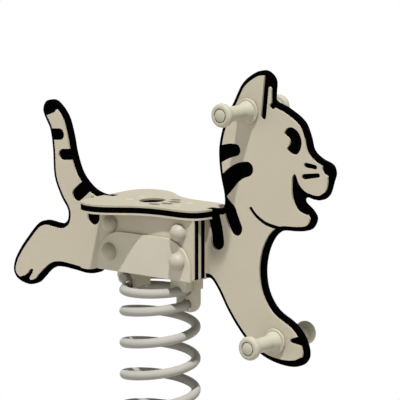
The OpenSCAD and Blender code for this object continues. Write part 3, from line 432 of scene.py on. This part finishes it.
def wire_run(first, last, tail_at_first, tail_at_last):
    """Rings along a stretch of the coil: centres on a helix of radius COIL_R and height coil_height,
    with a straight tail of one wire's diameter and a chamfered cut at an end of the wire."""
    turns = np.linspace(first, last, int(RINGS_PER_TURN * (last - first)) + 1)
    angle = TOP_ANGLE + 2 * np.pi * (turns - TOTAL_TURNS)
    outs = np.stack([np.cos(angle), np.sin(angle), 0 * turns], axis=1)
    before = np.maximum(turns - SLOPE_STEP, 0)
    after = np.minimum(turns + SLOPE_STEP, TOTAL_TURNS)
    slope = (coil_height(after) - coil_height(before)) / (after - before)
    ways = unit(np.stack([-np.sin(angle), np.cos(angle), slope / (2 * np.pi * COIL_R)], axis=1))
    centres = COIL_R * outs
    centres[:, 2] = coil_height(turns)
    radii = np.full(len(turns), WIRE_D / 2)
    tail = np.array([share * WIRE_D for share in TAIL_SHARES] + [WIRE_D - WIRE_CHAMFER, WIRE_D])
    tail_radii = np.full(len(tail), WIRE_D / 2)
    tail_radii[-1] -= WIRE_CHAMFER
    if tail_at_first:
        centres = np.concatenate([(centres[0] - tail[:, None] * ways[0])[::-1], centres])
        radii = np.concatenate([tail_radii[::-1], radii])
        ways = np.concatenate([np.repeat(ways[:1], len(tail), axis=0), ways])
        outs = np.concatenate([np.repeat(outs[:1], len(tail), axis=0), outs])
    if tail_at_last:
        centres = np.concatenate([centres, centres[-1] + tail[:, None] * ways[-1]])
        radii = np.concatenate([radii, tail_radii])
        ways = np.concatenate([ways, np.repeat(ways[-1:], len(tail), axis=0)])
        outs = np.concatenate([outs, np.repeat(outs[-1:], len(tail), axis=0)])
    return rings(centres, ways, outs, radii, WIRE_SIDES)


lower_run = wire_run(0, MIDDLE_TURN, tail_at_first=True, tail_at_last=False)
upper_run = wire_run(MIDDLE_TURN, TOTAL_TURNS, tail_at_first=False, tail_at_last=True)
coil_lower = closed_tube("coil_lower", lower_run, spring_coat)
coil_upper = closed_tube("coil_upper", upper_run, spring_coat)
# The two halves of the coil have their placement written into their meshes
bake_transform(coil_lower)
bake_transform(coil_upper)
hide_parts("coil_spring")
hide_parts("coil_spring")


# Weld beads

def bead(name, start, end):
    """A weld bead: a tube along a straight line. Its radius ripples as 1 plus a share of a sine, and tapers
    off as the root of 1 minus a high power of the distance from the middle, in half lengths."""
    length = np.linalg.norm(end - start)
    run = np.linspace(0, length, int(length / WELD_STEP) + 1)
    from_middle = np.abs(run - length / 2) / (length / 2)
    taper = np.sqrt(np.clip(1 - from_middle ** WELD_TAPER_POWER, WELD_TIP, 1))
    ripple = 1 + WELD_RIPPLE_SHARE * np.sin(2 * np.pi * run / WELD_RIPPLE)
    way = (end - start) / length
    centres = start + run[:, None] * way
    ways = np.repeat(way[None], len(run), axis=0)
    outs = np.repeat(np.array([UP]), len(run), axis=0)
    piece = closed_tube(name, rings(centres, ways, outs, WELD_R * taper * ripple, WELD_SIDES), powder_coat)
    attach(piece, "rider")


for block in ("head_block_front", "head_block_rear"):
    low, high = (np.array(corner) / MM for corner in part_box(block))
    for side, y in (("right", low[1]), ("left", high[1])):
        rear = np.array([low[0] + WELD_INSET, y, high[2]])
        front = np.array([high[0] - WELD_INSET, y, high[2]])
        bead(f"weld_{block}_{side}", rear, front)

# The upper end of the wire is tacked to the turn below it, half-way between the two
top_out = np.array([math.cos(TOP_ANGLE), math.sin(TOP_ANGLE), 0.0])
top_way = np.array([-top_out[1], top_out[0], CLOSED_PITCH / (2 * np.pi * COIL_R)])
tack = COIL_R * top_out
tack[2] = (coil_height(TOTAL_TURNS) + coil_height(TOTAL_TURNS - 1)) / 2
bead("weld_wire_end", tack + TACK_START * top_way, tack + TACK_END * top_way)


# Camera, at the photograph's place: metres, but millimetres for the sensor and the lens

AIM = Vector((0.099, 0.0, 0.5003))
AZIMUTH = math.radians(38.4)
ELEVATION = math.radians(9.4)
DISTANCE = 4.754
SENSOR_WIDTH = 36.0
FOCAL_LENGTH = 225.0
FARTHEST = 100.0

back = Vector((math.sin(AZIMUTH) * math.cos(ELEVATION), -math.cos(AZIMUTH) * math.cos(ELEVATION),
               math.sin(ELEVATION)))
lens = bpy.data.cameras.new("camera")
lens.sensor_width = SENSOR_WIDTH
lens.lens = FOCAL_LENGTH
lens.clip_end = FARTHEST
camera = bpy.data.objects.new("camera", lens)
camera.location = AIM + DISTANCE * back
camera.rotation_euler = (-back).to_track_quat("-Z", "Y").to_euler()
bpy.context.scene.collection.objects.link(camera)
bpy.context.scene.camera = camera


# Light and floor

WHITE = "#ffffff"
# Glow of the studio: straight overhead, added all round, and added towards the tail; the power sets how
# fast the last two fade upwards
OVERHEAD_GLOW = 0.14
ROUND_GLOW = 0.27
TAIL_SIDE_GLOW = 1.4
GLOW_FADE = 3.0
# Lamp: its strength, how wide it looks in degrees, and the way towards it
LAMP_ENERGY = 3.75
LAMP_WIDTH = 2
LAMP_WAY = Vector((0.26, -0.306, 1.0))
# Floor, in metres: half its side, and how far from the spring it starts to run out to white and is white
FLOOR_HALF = 40.0
FLOOR_START = 0.22
FLOOR_END = 0.42
FLOOR_TONE = "#c6c5c1"
FLOOR_ROUGHNESS = 0.9
FLOOR_SPECULAR = 0.1


def seen_directly(tree):
    """1 for rays from the camera, and for mirrored and refracted ones, else 0."""
    path = add(tree, "ShaderNodeLightPath", {}, {})
    shiny = add(tree, "ShaderNodeMath", {"operation": "MAXIMUM"}, {
        0: path.outputs["Is Glossy Ray"], 1: path.outputs["Is Transmission Ray"]})
    return add(tree, "ShaderNodeMath", {"operation": "MAXIMUM"}, {
        0: path.outputs["Is Camera Ray"], 1: shiny.outputs["Value"]}).outputs["Value"]


def studio_world():
    """A pale studio that shows as plain white: dim overhead, brighter round the sides and most so
    behind the tail."""
    world = bpy.data.worlds.new("studio")
    bpy.context.scene.world = world
    world.use_nodes = True
    tree = world.node_tree
    tree.nodes.clear()
    way = add(tree, "ShaderNodeTexCoord", {}, {})
    parts = add(tree, "ShaderNodeSeparateXYZ", {}, {"Vector": way.outputs["Generated"]})
    low = add(tree, "ShaderNodeMath", {"operation": "SUBTRACT", "use_clamp": True}, {
        0: 1.0, 1: parts.outputs["Z"]})
    lower = add(tree, "ShaderNodeMath", {"operation": "POWER"}, {0: low.outputs["Value"], 1: GLOW_FADE})
    tailward = add(tree, "ShaderNodeMath", {"operation": "MULTIPLY", "use_clamp": True}, {
        0: parts.outputs["X"], 1: -1.0})
    round_about = add(tree, "ShaderNodeMath", {"operation": "MULTIPLY_ADD"}, {
        0: tailward.outputs["Value"], 1: TAIL_SIDE_GLOW, 2: ROUND_GLOW})
    glow = add(tree, "ShaderNodeMath", {"operation": "MULTIPLY_ADD"}, {
        0: lower.outputs["Value"], 1: round_about.outputs["Value"], 2: OVERHEAD_GLOW})
    light = add(tree, "ShaderNodeBackground", {}, {
        "Color": linear(WHITE), "Strength": glow.outputs["Value"]})
    white = add(tree, "ShaderNodeBackground", {}, {"Color": linear(WHITE), "Strength": 1.0})
    both = add(tree, "ShaderNodeMixShader", {}, {
        0: seen_directly(tree), 1: light.outputs["Background"], 2: white.outputs["Background"]})
    add(tree, "ShaderNodeOutputWorld", {}, {"Surface": both.outputs["Shader"]})


def studio_floor():
    """A wide floor in pale matt paint that keeps the shadow round the base and runs out to plain white."""
    mesh = bpy.data.meshes.new("floor")
    corners = [(-FLOOR_HALF, -FLOOR_HALF, 0), (FLOOR_HALF, -FLOOR_HALF, 0),
               (FLOOR_HALF, FLOOR_HALF, 0), (-FLOOR_HALF, FLOOR_HALF, 0)]
    mesh.from_pydata(corners, [], [(0, 1, 2, 3)])
    floor = bpy.data.objects.new("floor", mesh)
    bpy.context.scene.collection.objects.link(floor)
    material = bpy.data.materials.new("pale_floor")
    material.use_nodes = True
    tree = material.node_tree
    paint = tree.nodes["Principled BSDF"]
    paint.inputs["Base Color"].default_value = linear(FLOOR_TONE)
    paint.inputs["Roughness"].default_value = FLOOR_ROUGHNESS
    paint.inputs["Specular IOR Level"].default_value = FLOOR_SPECULAR
    place = add(tree, "ShaderNodeTexCoord", {}, {}).outputs["Object"]
    away = add(tree, "ShaderNodeVectorMath", {"operation": "LENGTH"}, {0: place})
    far = add(tree, "ShaderNodeMapRange", {"interpolation_type": "SMOOTHSTEP"}, {
        "Value": away.outputs["Value"], "From Min": FLOOR_START, "From Max": FLOOR_END})
    share = add(tree, "ShaderNodeMath", {"operation": "MULTIPLY"}, {
        0: far.outputs["Result"], 1: seen_directly(tree)})
    white = add(tree, "ShaderNodeEmission", {}, {"Color": linear(WHITE), "Strength": 1.0})
    both = add(tree, "ShaderNodeMixShader", {}, {
        0: share.outputs["Value"], 1: paint.outputs["BSDF"], 2: white.outputs["Emission"]})
    tree.links.new(both.outputs["Shader"], tree.nodes["Material Output"].inputs["Surface"])
    mesh.materials.append(material)


def key_light():
    """One distant lamp, high over the animal's right shoulder, with nearly crisp shadows."""
    lamp = bpy.data.lights.new("key", "SUN")
    lamp.energy = LAMP_ENERGY
    lamp.angle = math.radians(LAMP_WIDTH)
    key = bpy.data.objects.new("key", lamp)
    key.rotation_euler = LAMP_WAY.to_track_quat("Z", "Y").to_euler()
    bpy.context.scene.collection.objects.link(key)


studio_world()
studio_floor()
key_light()
bpy.context.scene.view_settings.view_transform = "Standard"
